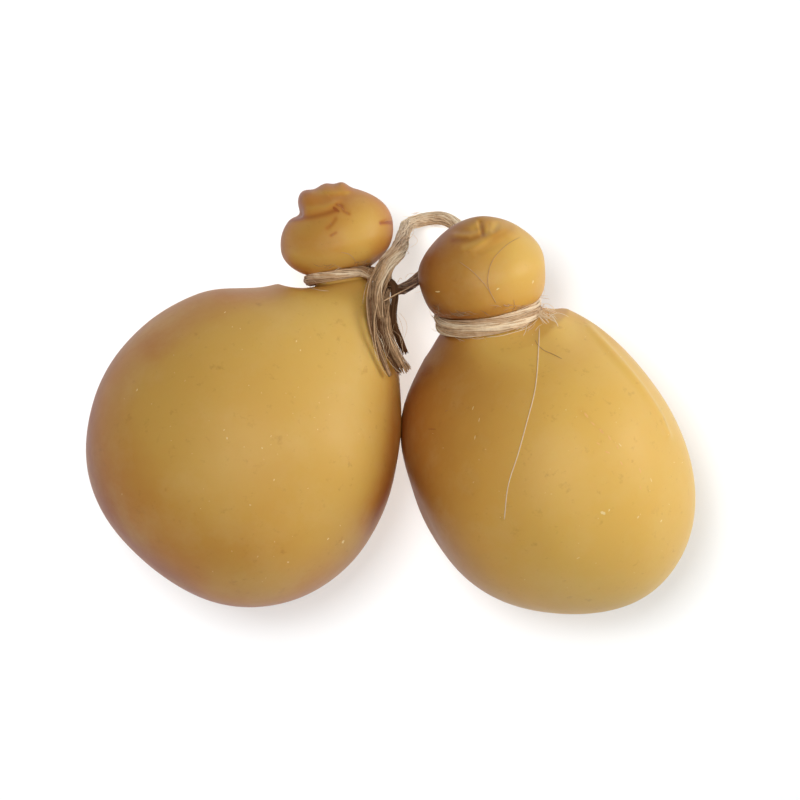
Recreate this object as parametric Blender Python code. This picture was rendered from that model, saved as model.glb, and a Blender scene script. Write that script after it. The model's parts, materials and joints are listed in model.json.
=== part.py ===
"""Two smoked caciocavallo cheeses tied neck to neck with one length of raffia twine, lying on their sides.

Metres, +Z up. The pair rests on the plane Z = 0, each cheese on the small flat that its own weight has
pressed into its belly. The heads point to +Y. The places below are in a drawing frame, and the finished
pair is moved so that the origin lies under the middle of the box that the cheeses and their tied turns fill.
"""

import math
from dataclasses import dataclass

import bmesh
import bpy
import numpy as np

MM = 0.001
COLLECTION = "smoked_caciocavallo_pair"

# ---------------------------------------------------------------- how finely the cheeses are made
SEGMENTS = 44  # round the axis
RINGS = 50  # from the pole of the body to the crown of the head
BODY_SHARE = 0.56  # of the rings, below the neck
FLAT_BLEND = 0.8 * MM  # height over which a belly turns into its flat
SWELL_FADE = 9 * MM  # below the neck, over which a swell of the body sets in
CROWN_EASE = 0.15  # of a crown's height, over which it begins to close

# ---------------------------------------------------------------- twine
GAP = 0.35 * MM  # between solids that touch
TUBE_BEVEL = 2  # bevel resolution of a thin tube; a thick one has one more

# Turns round the necks, in degrees from the side: first and last angle, and where a turn passes to the next.
LEFT_TURNS = (45.0, 368.0, (368.0, 400.0))
RIGHT_TURNS = (-38.0, 578.0, (220.0, 320.0))

KNOT_PLACE = (-7.2 * MM, 52.0 * MM, 69.8 * MM)
KNOT_RADII = (4.0 * MM, 4.2 * MM, 4.0 * MM)

# Each free length: its route in millimetres, its radius at the start and at the end.
HANGER = (
    (
        (-4.7, 57.7, 70.2),
        (-2.3, 60.4, 67.4),
        (-0.2, 63.8, 60.0),
        (0.9, 67.4, 49.0),
        (1.9, 71.6, 35.0),
        (3.6, 75.8, 20.0),
        (7.6, 77.9, 9.0),
        (13.0, 79.3, 4.8),
        (19.0, 79.5, 4.6),
        (24.0, 76.8, 5.6),
        (27.6, 71.6, 9.6),
        (30.6, 65.4, 16.6),
        (33.0, 58.4, 24.4),
        (35.2, 51.0, 31.2),
        (36.8, 45.6, 34.0),
    ),
    3.7 * MM,
    2.7 * MM,
)
LINK = (
    (
        (-2.4, 46.6, 63.2),
        (0.4, 46.6, 57.4),
        (3.6, 48.4, 49.4),
        (7.0, 51.2, 41.6),
        (10.8, 54.6, 34.6),
        (15.2, 57.4, 29.8),
        (20.2, 57.8, 28.2),
        (24.4, 55.4, 29.0),
        (27.2, 51.0, 31.2),
        (28.6, 46.0, 33.6),
    ),
    2.3 * MM,
    2.7 * MM,
)
TAILS = (
    (
        (
            (-6.0, 46.2, 74.2),
            (-7.2, 42.6, 77.6),
            (-8.0, 38.4, 80.2),
            (-7.8, 33.0, 82.0),
            (-6.5, 26.8, 83.0),
            (-4.3, 21.9, 82.0),
            (-1.1, 16.5, 78.8),
            (2.3, 12.2, 75.0),
        ),
        2.5 * MM,
        2.2 * MM,
    ),
    (
        (
            (-10.6, 46.0, 77.2),
            (-12.0, 41.6, 82.2),
            (-12.0, 36.4, 84.6),
            (-11.5, 30.5, 86.2),
            (-10.1, 25.0, 86.6),
            (-8.3, 19.5, 85.8),
            (-6.2, 14.2, 84.0),
            (-4.2, 9.9, 81.6),
        ),
        1.6 * MM,
        1.1 * MM,
    ),
    (
        (
            (-2.0, 47.8, 69.8),
            (-2.2, 43.4, 71.8),
            (-2.8, 39.2, 72.4),
            (-3.0, 35.2, 72.0),
            (-2.4, 31.2, 70.8),
            (-1.0, 27.2, 69.0),
            (0.6, 23.4, 67.0),
            (2.0, 19.2, 64.0),
        ),
        1.5 * MM,
        1.3 * MM,
    ),
)


@dataclass
class Cheese:
    """The sizes of one cheese. A turn is about +Z from +Y and a rise is above the horizontal, in degrees."""

    name: str
    neck: tuple  # middle of the neck
    neck_radius: float  # at the bottom of the groove that the twine has cut
    neck_half: float  # half the length of that groove
    neck_turn: float
    neck_rise: float
    twine_radius: float  # of the hank wound round the neck
    body_turn: float
    body_rise: float
    body_length: float  # neck to pole
    belly_from_neck: float
    belly_radius: float
    belly_shift: float  # sideways bow of the body's axis
    body_depth: float  # height of a body section, as a share of its width
    shoulder_fullness: float
    base_fullness: float
    lean_reach: float  # how far below the neck the sections come to face along the body
    head_path: float  # turn of the line from the neck to the crown
    head_turn: float
    head_rise: float
    head_height: float
    head_middle: float  # neck to the widest section of the head
    head_radius: float
    head_depth: float  # height of a head section, as a share of its width
    underside_fullness: float  # of the head, where it overhangs the twine
    crown_fullness: float
    crown_shift: float
    swells: tuple = ()  # soft bulges and hollows: (place, reach, height)
    bumps: tuple = ()  # lumps and hollows of the head's upper side: (plan place, reach, height)
    creases: tuple = ()  # grooves in the upper side: (plan route, depth, width)
    lips: tuple = ()  # folds that overlap the upper side: (plan route, height, edge width, reach)


LEFT = Cheese(
    name="cheese_left",
    neck=(-25.1 * MM, 51.4 * MM, 60.0 * MM),
    neck_radius=11.3 * MM,
    neck_half=2.5 * MM,
    neck_turn=9.0,
    neck_rise=0.0,
    twine_radius=1.75 * MM,
    body_turn=-29.6,
    body_rise=0.0,
    body_length=148.9 * MM,
    belly_from_neck=83.9 * MM,
    belly_radius=65.0 * MM,
    belly_shift=-1.7 * MM,
    body_depth=0.96,
    shoulder_fullness=0.86,
    base_fullness=2.08,
    lean_reach=36.0 * MM,
    head_path=4.4,
    head_turn=10.7,
    head_rise=5.0,
    head_height=37.6 * MM,
    head_middle=16.3 * MM,
    head_radius=24.0 * MM,
    head_depth=0.95,
    underside_fullness=0.6,
    crown_fullness=1.76,
    crown_shift=1.4 * MM,
    swells=(
        ((-100.0 * MM, 37.0 * MM, 60.0 * MM), 30.0 * MM, 2.2 * MM),
        ((-105.0 * MM, -66.0 * MM, 60.0 * MM), 30.0 * MM, -3.3 * MM),
        ((-60.0 * MM, 48.0 * MM, 60.0 * MM), 26.0 * MM, 1.7 * MM),
        ((2.0 * MM, 5.0 * MM, 60.0 * MM), 26.0 * MM, 2.7 * MM),
        ((-42.0 * MM, 50.0 * MM, 60.0 * MM), 16.0 * MM, 4.4 * MM),
    ),
    bumps=(
        ((-38.6, 84.2), 4.5 * MM, 4.8 * MM),
        ((-31.0, 88.0), 4.2 * MM, 3.2 * MM),
        ((-24.5, 89.1), 2.8 * MM, 1.9 * MM),
        ((-43.0, 78.8), 2.8 * MM, -2.9 * MM),
    ),
    lips=(
        (
            ((-52.0, 77.0), (-41.0, 77.2), (-37.1, 77.4), (-30.6, 78.8), (-26.7, 80.7), (-23.0, 84.0)),
            1.0 * MM,
            1.4 * MM,
            8.0 * MM,
        ),
    ),
)

RIGHT = Cheese(
    name="cheese_right",
    neck=(37.1 * MM, 36.3 * MM, 60.0 * MM),
    neck_radius=19.4 * MM,
    neck_half=3.9 * MM,
    neck_turn=10.0,
    neck_rise=16.0,
    twine_radius=1.5 * MM,
    body_turn=27.2,
    body_rise=5.0,
    body_length=135.6 * MM,
    belly_from_neck=68.6 * MM,
    belly_radius=59.6 * MM,
    belly_shift=-6.2 * MM,
    body_depth=1.0,
    shoulder_fullness=0.84,
    base_fullness=1.91,
    lean_reach=50.0 * MM,
    head_path=10.3,
    head_turn=9.0,
    head_rise=22.0,
    head_height=42.8 * MM,
    head_middle=19.6 * MM,
    head_radius=26.6 * MM,
    head_depth=0.97,
    underside_fullness=0.36,
    crown_fullness=1.5,
    crown_shift=2.9 * MM,
    swells=(
        ((2.0 * MM, -9.0 * MM, 60.0 * MM), 26.0 * MM, 4.5 * MM),
        ((10.0 * MM, -52.0 * MM, 60.0 * MM), 22.0 * MM, -4.1 * MM),
        ((70.0 * MM, 36.0 * MM, 60.0 * MM), 24.0 * MM, 5.8 * MM),
        ((105.0 * MM, 5.0 * MM, 60.0 * MM), 28.0 * MM, -3.2 * MM),
        ((105.0 * MM, -60.0 * MM, 60.0 * MM), 28.0 * MM, 3.4 * MM),
    ),
    creases=(
        (((33.0, 73.6), (33.4, 71.6), (34.2, 69.2)), 0.7 * MM, 1.4 * MM),
        (((21.0, 71.0), (26.0, 70.0), (31.0, 70.4)), 0.5 * MM, 1.6 * MM),
        (((40.2, 73.0), (38.6, 70.2)), 0.5 * MM, 1.4 * MM),
    ),
    lips=(
        (((25.0, 59.4), (31.0, 62.2), (38.0, 66.4), (45.5, 70.8)), 0.8 * MM, 1.4 * MM, 3.0 * MM),
        (((35.0, 70.8), (32.6, 68.0), (28.4, 66.8), (20.0, 68.4)), -0.7 * MM, 1.4 * MM, 5.0 * MM),
    ),
)


# ---------------------------------------------------------------- the cheeses' shape
def turned_axes(turn, rise):
    """Unit vectors to the side of, above and along an axis at these angles."""
    turn, rise = np.radians(turn), np.radians(rise)
    along = np.stack([-np.sin(turn) * np.cos(rise), np.cos(turn) * np.cos(rise), np.sin(rise)], -1)
    side = np.stack([np.cos(turn), np.sin(turn), np.zeros_like(turn)], -1)
    return side, np.cross(side, along), along


def rounded_end(share, fullness):
    """Half-width of a rounded end, from 1 where it starts to 0 at its tip."""
    return (1 - np.clip(share, 0, 1) ** fullness) ** (1 / fullness)


def flare(distance, start, end, from_radius, to_radius, fullness):
    """Radius that swells out of a groove, steeply at first."""
    share = np.clip((distance - start) / (end - start), 0, 1)
    return from_radius + (to_radius - from_radius) * np.sin(math.pi / 2 * share) ** fullness


def body_radius(cheese, below):
    """Radius of the section this far below the neck: a full shoulder, the belly and a round base."""
    shoulder = flare(
        below,
        cheese.neck_half,
        cheese.belly_from_neck,
        cheese.neck_radius,
        cheese.belly_radius,
        cheese.shoulder_fullness,
    )
    base = (below - cheese.belly_from_neck) / (cheese.body_length - cheese.belly_from_neck)
    return np.where(base > 0, cheese.belly_radius * rounded_end(base, cheese.base_fullness), shoulder)


def head_radius(cheese, above):
    """Radius of the section this far above the neck: it overhangs the twine and closes at the crown."""
    underside = flare(
        above,
        cheese.neck_half,
        cheese.head_middle,
        cheese.neck_radius,
        cheese.head_radius,
        cheese.underside_fullness,
    )
    top = np.clip((above - cheese.head_middle) / (cheese.head_height - cheese.head_middle), 0, 1)
    eased = top**2 * (1 + CROWN_EASE) / (top + CROWN_EASE)
    return np.where(top > 0, cheese.head_radius * rounded_end(eased, cheese.crown_fullness), underside)


def sections(cheese, share):
    """Centre, side, up, half-width, half-height and distance from the groove, from pole (0) to crown (1)."""
    in_body = share <= BODY_SHARE
    body_angle = math.pi * np.clip(share / BODY_SHARE, 0, 1)
    head_angle = math.pi * np.clip((share - BODY_SHARE) / (1 - BODY_SHARE), 0, 1)
    below = cheese.body_length * (1 + np.cos(body_angle)) / 2
    above = cheese.head_height * (1 - np.cos(head_angle)) / 2

    in_groove = np.clip(np.where(in_body, -below, above), -cheese.neck_half, cheese.neck_half)
    past = np.where(in_body, below, above) - abs(in_groove)
    lean = np.clip(1 - past / cheese.lean_reach, 0, 1) ** 2
    nod = np.clip(past / (cheese.head_middle - cheese.neck_half), 0, 1)
    body_turn = cheese.body_turn + lean * (cheese.neck_turn - cheese.body_turn)
    body_rise = cheese.body_rise + lean * (cheese.neck_rise - cheese.body_rise)
    head_turn = cheese.neck_turn + nod * (cheese.head_turn - cheese.neck_turn)
    head_rise = cheese.neck_rise + nod * (cheese.head_rise - cheese.neck_rise)
    side, up, _ = turned_axes(
        np.where(in_body, body_turn, head_turn), np.where(in_body, body_rise, head_rise)
    )

    _, _, neck_along = turned_axes(cheese.neck_turn, cheese.neck_rise)
    body_side, _, body_along = turned_axes(cheese.body_turn, cheese.body_rise)
    head_side, _, head_along = turned_axes(cheese.head_path, cheese.head_rise)
    bow = cheese.belly_shift * np.sin(math.pi * past / cheese.body_length)
    slump = cheese.crown_shift * (above / cheese.head_height) ** 3
    groove_centre = np.array(cheese.neck) + np.outer(in_groove, neck_along)
    body_centre = groove_centre - np.outer(past, body_along) + np.outer(bow, body_side)
    head_centre = groove_centre + np.outer(past, head_along) + np.outer(slump, head_side)
    centre = np.where(in_body[:, None], body_centre, head_centre)

    width = np.where(in_body, body_radius(cheese, below), head_radius(cheese, above))
    fill = np.clip(2 * below / cheese.belly_from_neck, 0, 1)
    body_flattening = 1 + (cheese.body_depth - 1) * fill
    head_flattening = 1 + (cheese.head_depth - 1) * nod
    height = width * np.where(in_body, body_flattening, head_flattening)
    return centre, side, up, width, height, past


def hearts(cheese):
    """Middles of the body and of the head."""
    neck = np.array(cheese.neck)
    _, _, body_along = turned_axes(cheese.body_turn, cheese.body_rise)
    _, _, head_along = turned_axes(cheese.head_path, cheese.head_rise)
    return neck - cheese.belly_from_neck * body_along, neck + cheese.head_middle * head_along


def swell(points, heart, past, place, reach, height):
    """Points moved away from the heart in a soft bulge round a place, which dies out at the neck."""
    away = points - heart
    away /= np.linalg.norm(away, axis=1)[:, None] + 1e-9
    distance = np.linalg.norm(points - np.array(place), axis=1)
    fade = np.clip(past / SWELL_FADE, 0, 1) ** 2
    return points + away * (height * fade * np.exp(-((distance / reach) ** 2)))[:, None]


def beside_route(points, route):
    """Distance in plan from a broken line, positive on its left, and the share of the way along it."""
    plan = points[:, :2]
    route = np.array(route) * MM
    lengths = np.linalg.norm(np.diff(route, axis=0), axis=1)
    done = np.concatenate([[0], np.cumsum(lengths)])
    nearest = np.full(len(points), np.inf)
    side = np.zeros(len(points))
    share = np.zeros(len(points))
    for start, end, length, before in zip(route[:-1], route[1:], lengths, done):
        run = (end - start) / length
        along = np.clip((plan - start) @ run, 0, length)
        apart = plan - start - along[:, None] * run
        distance = np.linalg.norm(apart, axis=1)
        closer = distance < nearest
        nearest = np.where(closer, distance, nearest)
        side = np.where(closer, np.sign(run[0] * apart[:, 1] - run[1] * apart[:, 0]), side)
        share = np.where(closer, (before + along) / done[-1], share)
    return nearest * side, share


def raised(points, heart, height, from_rise, full_rise):
    """Points moved away from the heart, in full where they lie above it and not at all well below."""
    away = points - heart
    away /= np.linalg.norm(away, axis=1)[:, None] + 1e-9
    shown = np.clip((away[:, 2] - from_rise) / (full_rise - from_rise), 0, 1)
    return points + away * (height * shown)[:, None]


def add_bump(points, heart, place, reach, height):
    """Points moved out in a soft lump round a place in plan."""
    distance = np.linalg.norm(points[:, :2] - np.array(place) * MM, axis=1)
    return raised(points, heart, height * np.exp(-((distance / reach) ** 2)), -0.5, 0)


def add_crease(points, heart, route, depth, width):
    """Points of the upper side sunk towards the heart along a route in plan."""
    beside, _ = beside_route(points, route)
    return raised(points, heart, -depth * np.exp(-((beside / width) ** 2)), 0, 0.4)


def add_lip(points, heart, route, height, edge, reach):
    """Points raised on the left of a route in plan, steep beside it and dying out away from it."""
    beside, share = beside_route(points, route)
    step = 0.5 + 0.5 * np.tanh(2 * beside / edge)
    fade = np.exp(-((np.clip(beside, 0, None) / reach) ** 2)) * (1 - abs(2 * share - 1) ** 3)
    return raised(points, heart, height * step * fade, -0.5, 0)


def rest_on_floor(height):
    """Heights with whatever would lie below the floor pressed flat, with a soft edge."""
    blended = (height + FLAT_BLEND) ** 2 / (4 * FLAT_BLEND)
    return np.where(height > FLAT_BLEND, height, np.where(height < -FLAT_BLEND, 0, blended))


def surface(cheese, share, angle):
    """Points of the cheese's skin, at shares from pole to crown and at angles round the axis."""
    centre, side, up, width, height, past = sections(cheese, share)
    points = centre + side * (width * np.cos(angle))[:, None] + up * (height * np.sin(angle))[:, None]
    body_heart, head_heart = hearts(cheese)
    in_head = share > BODY_SHARE
    for place, reach, bulge in cheese.swells:
        points = swell(points, body_heart, np.where(in_head, 0, past), place, reach, bulge)
    head = points[in_head]
    for place, reach, bulge in cheese.bumps:
        head = add_bump(head, head_heart, place, reach, bulge)
    for route, depth, crease_width in cheese.creases:
        head = add_crease(head, head_heart, route, depth, crease_width)
    for route, lip_height, edge, reach in cheese.lips:
        head = add_lip(head, head_heart, route, lip_height, edge, reach)
    points[in_head] = head
    points[:, 2] = rest_on_floor(points[:, 2])
    return points


def cheese_mesh(cheese):
    """Closed mesh of a cheese: a sphere whose rings are moved to the cheese's sections."""
    shape = bmesh.new()
    bmesh.ops.create_uvsphere(shape, u_segments=SEGMENTS, v_segments=RINGS, radius=1.0)
    sphere = np.array([vertex.co for vertex in shape.verts])
    share = np.arccos(np.clip(-sphere[:, 2], -1, 1)) / math.pi
    angle = np.arctan2(sphere[:, 1], sphere[:, 0])
    for vertex, place in zip(shape.verts, surface(cheese, share, angle)):
        vertex.co = place
    bmesh.ops.recalc_face_normals(shape, faces=shape.faces)
    mesh = bpy.data.meshes.new(cheese.name)
    shape.to_mesh(mesh)
    shape.free()
    mesh.shade_smooth()
    return mesh


# ---------------------------------------------------------------- twine
def smooth_route(route, spacing):
    """Points about this far apart on a smooth curve through the route's own points."""
    route = np.array(route)
    knots = np.concatenate([[0], np.cumsum(np.linalg.norm(np.diff(route, axis=0), axis=1))])
    tangents = np.gradient(route, knots, axis=0)
    at = np.linspace(0, knots[-1], 1 + math.ceil(knots[-1] / spacing))
    span = np.clip(np.searchsorted(knots, at) - 1, 0, len(route) - 2)
    length = (knots[span + 1] - knots[span])[:, None]
    t = (at - knots[span])[:, None] / length
    return (
        (2 * t**3 - 3 * t**2 + 1) * route[span]
        + (t**3 - 2 * t**2 + t) * length * tangents[span]
        + (3 * t**2 - 2 * t**3) * route[span + 1]
        + (t**3 - t**2) * length * tangents[span + 1]
    )


def turns_round_neck(cheese, first, last, crossing):
    """Points of twine wound round a neck from one angle to another, each turn beside the one before."""
    side, up, along = turned_axes(cheese.neck_turn, cheese.neck_rise)
    radius = cheese.neck_radius + GAP + cheese.twine_radius
    pitch = 2 * cheese.twine_radius + GAP
    points = []
    for angle in np.linspace(first, last, 1 + round((last - first) / 15)):
        turn, past = divmod(angle - crossing[0], 360)
        passed = min(1, past / (crossing[1] - crossing[0]))
        step = turn + 0.5 - 0.5 * math.cos(math.pi * passed)
        across = math.cos(math.radians(angle)) * side + math.sin(math.radians(angle)) * up
        points.append(np.array(cheese.neck) + radius * across + pitch * step * along)
    middle = (points[0] + points[-1]) @ along / 2 - np.array(cheese.neck) @ along
    return np.array(points) - middle * along


def tube(name, points, start_radius, end_radius, bevel):
    """Curve object along the points, with a round section that tapers evenly, and filled caps."""
    curve = bpy.data.curves.new(name, "CURVE")
    curve.dimensions = "3D"
    curve.bevel_depth = start_radius
    curve.bevel_resolution = bevel
    curve.use_fill_caps = True
    spline = curve.splines.new("POLY")
    spline.points.add(len(points) - 1)
    tapers = np.linspace(1, end_radius / start_radius, len(points))
    for spline_point, place, taper in zip(spline.points, points, tapers):
        spline_point.co = (*place, 1)
        spline_point.radius = taper
    spline.use_smooth = True
    return bpy.data.objects.new(name, curve)


def free_length(name, route, start_radius, end_radius):
    """A free length of twine along its route."""
    points = smooth_route(np.array(route) * MM, 1.5 * start_radius)
    return tube(name, points, start_radius, end_radius, TUBE_BEVEL)


def knot():
    """The lump of the knot that ties the hanger, the link and the tails to the turn round the left neck."""
    shape = bmesh.new()
    bmesh.ops.create_uvsphere(shape, u_segments=16, v_segments=12, radius=1.0)
    for vertex in shape.verts:
        vertex.co = [place + radius * c for place, radius, c in zip(KNOT_PLACE, KNOT_RADII, vertex.co)]
    mesh = bpy.data.meshes.new("twine_knot")
    shape.to_mesh(mesh)
    shape.free()
    mesh.shade_smooth()
    return bpy.data.objects.new("twine_knot", mesh)


# ---------------------------------------------------------------- materials and assembly
def principled(name, colour, roughness):
    """A plain material of one colour."""
    material = bpy.data.materials.new(name)
    material.use_nodes = True
    shader = material.node_tree.nodes["Principled BSDF"]
    shader.inputs["Base Color"].default_value = (*colour, 1)
    shader.inputs["Roughness"].default_value = roughness
    return material


def centre_on_origin(collection):
    """Parent all pieces to an empty that brings the middle of the tied pair to X = Y = 0."""
    bpy.context.view_layer.update()
    held_names = ("cheese_", "neck_", "twine_knot")
    held = [piece for piece in collection.objects if piece.name.startswith(held_names)]
    corners = np.array([corner[:] for piece in held for corner in piece.bound_box])
    middle = (corners.min(axis=0) + corners.max(axis=0)) / 2
    root = bpy.data.objects.new(COLLECTION, None)
    root.location = (-middle[0], -middle[1], 0)
    for piece in list(collection.objects):
        piece.parent = root
    collection.objects.link(root)


def main():
    for leftover in list(bpy.data.objects):
        bpy.data.objects.remove(leftover)
    collection = bpy.data.collections.new(COLLECTION)
    bpy.context.scene.collection.children.link(collection)

    rind_left = principled("smoked_rind_left", (0.56, 0.32, 0.09), 0.42)
    rind_right = principled("smoked_rind_right", (0.60, 0.36, 0.10), 0.42)
    raffia = principled("raffia", (0.42, 0.29, 0.17), 0.85)

    left_turn = turns_round_neck(LEFT, *LEFT_TURNS)
    right_turns = turns_round_neck(RIGHT, *RIGHT_TURNS)

    pieces = [
        (bpy.data.objects.new(LEFT.name, cheese_mesh(LEFT)), rind_left),
        (bpy.data.objects.new(RIGHT.name, cheese_mesh(RIGHT)), rind_right),
        (tube("neck_twine_left", left_turn, LEFT.twine_radius, LEFT.twine_radius, TUBE_BEVEL), raffia),
        (tube("neck_twine_right", right_turns, RIGHT.twine_radius, RIGHT.twine_radius, TUBE_BEVEL), raffia),
        (knot(), raffia),
        (free_length("twine_hanger", *HANGER), raffia),
        (free_length("twine_link", *LINK), raffia),
    ]
    for number, tail in enumerate(TAILS, start=1):
        pieces.append((free_length(f"twine_tail_{number}", *tail), raffia))
    for piece, material in pieces:
        piece.data.materials.append(material)
        collection.objects.link(piece)
    centre_on_origin(collection)


main()
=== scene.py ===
"""Looks of the tied pair of smoked caciocavallo cheeses: waxy smoked rind, raffia twine, stray fibres.

Metres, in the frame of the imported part. The drawing places below are the part's own, and SHIFT brings them
into that frame. The camera looks straight down on the lying pair.
"""

import json
import math
from dataclasses import dataclass

import bmesh
import bpy
import numpy as np
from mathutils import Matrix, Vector, noise
from mathutils.bvhtree import BVHTree

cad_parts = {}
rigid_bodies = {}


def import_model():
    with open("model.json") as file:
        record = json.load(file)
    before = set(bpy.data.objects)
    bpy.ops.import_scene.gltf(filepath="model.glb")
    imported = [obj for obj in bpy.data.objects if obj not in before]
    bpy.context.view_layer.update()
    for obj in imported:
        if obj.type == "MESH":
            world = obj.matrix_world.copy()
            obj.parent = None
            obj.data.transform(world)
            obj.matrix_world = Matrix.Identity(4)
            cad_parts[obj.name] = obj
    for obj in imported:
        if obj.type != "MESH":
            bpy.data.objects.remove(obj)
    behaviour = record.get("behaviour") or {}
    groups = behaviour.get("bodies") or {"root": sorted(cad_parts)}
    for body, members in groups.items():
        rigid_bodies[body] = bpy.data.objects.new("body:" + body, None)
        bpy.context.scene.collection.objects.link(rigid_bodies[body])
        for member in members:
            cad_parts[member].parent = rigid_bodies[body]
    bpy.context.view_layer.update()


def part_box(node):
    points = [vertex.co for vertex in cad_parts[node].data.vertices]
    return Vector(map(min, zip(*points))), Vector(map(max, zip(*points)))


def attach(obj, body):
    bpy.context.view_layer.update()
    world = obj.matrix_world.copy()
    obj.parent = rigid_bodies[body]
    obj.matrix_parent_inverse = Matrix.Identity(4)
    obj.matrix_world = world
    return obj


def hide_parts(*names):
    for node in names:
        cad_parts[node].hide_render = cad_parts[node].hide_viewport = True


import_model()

MM = 0.001
KNOT_PLACE = np.array((-7.2, 52.0, 69.8)) * MM
knot_low, knot_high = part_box("twine_knot")
SHIFT = (np.array(knot_low) + np.array(knot_high)) / 2 - KNOT_PLACE

# ---------------------------------------------------------------- camera
VIEW_HEIGHT = 60 * MM  # where the pair is widest
VIEW_DISTANCE = 1.3
VIEW_WIDTH = 0.336  # of the picture, at that height
SENSOR = 36.0


def add_camera():
    """A camera above the pair, looking straight down, with the heads at the top of the picture."""
    data = bpy.data.cameras.new("camera")
    data.sensor_width = SENSOR
    data.lens = SENSOR * VIEW_DISTANCE / VIEW_WIDTH
    data.clip_end = 10
    camera = bpy.data.objects.new("camera", data)
    camera.location = (SHIFT[0], SHIFT[1], VIEW_HEIGHT + VIEW_DISTANCE)
    bpy.context.scene.collection.objects.link(camera)
    bpy.context.scene.camera = camera


add_camera()


# ---------------------------------------------------------------- helpers
def smooth_route(route, spacing):
    """Points about this far apart on a smooth curve through the route's own points."""
    route = np.array(route)
    knots = np.concatenate([[0], np.cumsum(np.linalg.norm(np.diff(route, axis=0), axis=1))])
    tangents = np.gradient(route, knots, axis=0)
    at = np.linspace(0, knots[-1], 1 + math.ceil(knots[-1] / spacing))
    span = np.clip(np.searchsorted(knots, at) - 1, 0, len(route) - 2)
    length = (knots[span + 1] - knots[span])[:, None]
    t = (at - knots[span])[:, None] / length
    return (
        (2 * t**3 - 3 * t**2 + 1) * route[span]
        + (t**3 - 2 * t**2 + t) * length * tangents[span]
        + (3 * t**2 - 2 * t**3) * route[span + 1]
        + (t**3 - t**2) * length * tangents[span + 1]
    )


def route_length(points):
    """Length of a broken line."""
    return float(np.linalg.norm(np.diff(points, axis=0), axis=1).sum())


def unit(vectors):
    """Vectors made one long."""
    return vectors / (np.linalg.norm(vectors, axis=-1, keepdims=True) + 1e-12)


def carried_frames(points, first_side):
    """Tangents, sides and normals along a line, carried from point to point without twist."""
    tangents = unit(np.gradient(points, axis=0))
    side = unit(np.array(first_side) - tangents[0] * np.dot(first_side, tangents[0]))
    sides = []
    for tangent in tangents:
        side = unit(side - tangent * np.dot(side, tangent))
        sides.append(side)
    sides = np.array(sides)
    return tangents, sides, np.cross(tangents, sides)


def add_object(name, vertices, faces, material, tone=None):
    """A smooth-shaded mesh object that rides on the part, with an optional tone for each vertex."""
    mesh = bpy.data.meshes.new(name)
    mesh.from_pydata(np.asarray(vertices).tolist(), [], faces)
    if tone is not None:
        attribute = mesh.attributes.new("tone", "FLOAT", "POINT")
        attribute.data.foreach_set("value", np.asarray(tone, dtype=np.float32))
    mesh.shade_smooth()
    mesh.materials.append(material)
    piece = bpy.data.objects.new(name, mesh)
    bpy.context.scene.collection.objects.link(piece)
    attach(piece, "root")
    return piece


class Strands:
    """Many thin flat strips of fibre, gathered into one mesh."""

    def __init__(self):
        self.vertices = []
        self.faces = []
        self.tone = []

    def add(self, points, width, thickness, face_side, tone):
        """One strip along the points: an oval section, its broad side square to face_side, with tapered ends.

        The tone is one value, or one for each point.
        """
        tangents = unit(np.gradient(points, axis=0))
        normal = unit(face_side - tangents * np.sum(face_side * tangents, axis=1)[:, None])
        across = np.cross(tangents, normal)
        ends = np.minimum(np.arange(len(points)), np.arange(len(points))[::-1])
        taper = np.clip(0.5 + 0.3 * ends, 0, 1)[:, None]
        start = len(self.vertices)
        rim = 5
        for place in range(rim):
            angle = 2 * math.pi * place / rim
            ring = points + taper * (
                across * (width / 2 * math.cos(angle)) + normal * (thickness / 2 * math.sin(angle))
            )
            self.vertices.extend(ring.tolist())
        count = len(points)
        for place in range(rim):
            this, following = start + place * count, start + (place + 1) % rim * count
            self.faces.extend(
                (this + k, this + k + 1, following + k + 1, following + k) for k in range(count - 1)
            )
        self.faces.append(tuple(start + place * count for place in range(rim)))
        self.faces.append(tuple(start + place * count + count - 1 for place in reversed(range(rim))))
        self.tone.extend(np.tile(np.broadcast_to(tone, count), rim).tolist())

    def build(self, name, material):
        """The gathered strips as one object."""
        return add_object(name, self.vertices, self.faces, material, self.tone)


# ---------------------------------------------------------------- materials
def feed(tree, node, inputs):
    """Gives each named input of a node its value, or links it to the output that it follows."""
    for key, value in inputs.items():
        if isinstance(value, bpy.types.NodeSocket):
            tree.links.new(value, node.inputs[key])
        else:
            node.inputs[key].default_value = value


def new_material(name):
    """A node material, a function that sets its shader's inputs, and one that adds a node."""
    material = bpy.data.materials.new(name)
    material.use_nodes = True
    tree = material.node_tree

    def shade(inputs):
        feed(tree, tree.nodes["Principled BSDF"], inputs)

    def node(kind, inputs=None, **settings):
        made = tree.nodes.new("ShaderNode" + kind)
        for key, value in settings.items():
            setattr(made, key, value)
        feed(tree, made, inputs or {})
        return made.outputs

    return material, shade, node


def srgb(red, green, blue):
    """A linear colour from an 8-bit one."""
    values = [channel / 255 for channel in (red, green, blue)]
    return tuple(v / 12.92 if v <= 0.04045 else ((v + 0.055) / 1.055) ** 2.4 for v in values) + (1.0,)


def colour_ramp(node, shade, stops):
    """The colour for a shade on a ramp with these (place, colour) stops."""
    colour = node("ValToRGB", {"Fac": shade})["Color"]
    elements = colour.node.color_ramp.elements
    while len(elements) < len(stops):
        elements.new(0.5)
    for element, (place, stop) in zip(elements, stops):
        element.position = place
        element.color = stop
    return colour


def noise_texture(node, coordinates, scale, detail=2.0, roughness=0.5):
    """A noise texture on these coordinates."""
    inputs = {"Scale": scale, "Detail": detail, "Roughness": roughness, "Vector": coordinates}
    return node("TexNoise", inputs)["Fac"]


def added(node, first, second):
    """The sum of two values."""
    return node("Math", {0: first, 1: second}, operation="ADD")[0]


def times_plus(node, value, factor, addend):
    """A value times a factor, plus an addend."""
    return node("Math", {0: value, 1: factor, 2: addend}, operation="MULTIPLY_ADD")[0]


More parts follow.
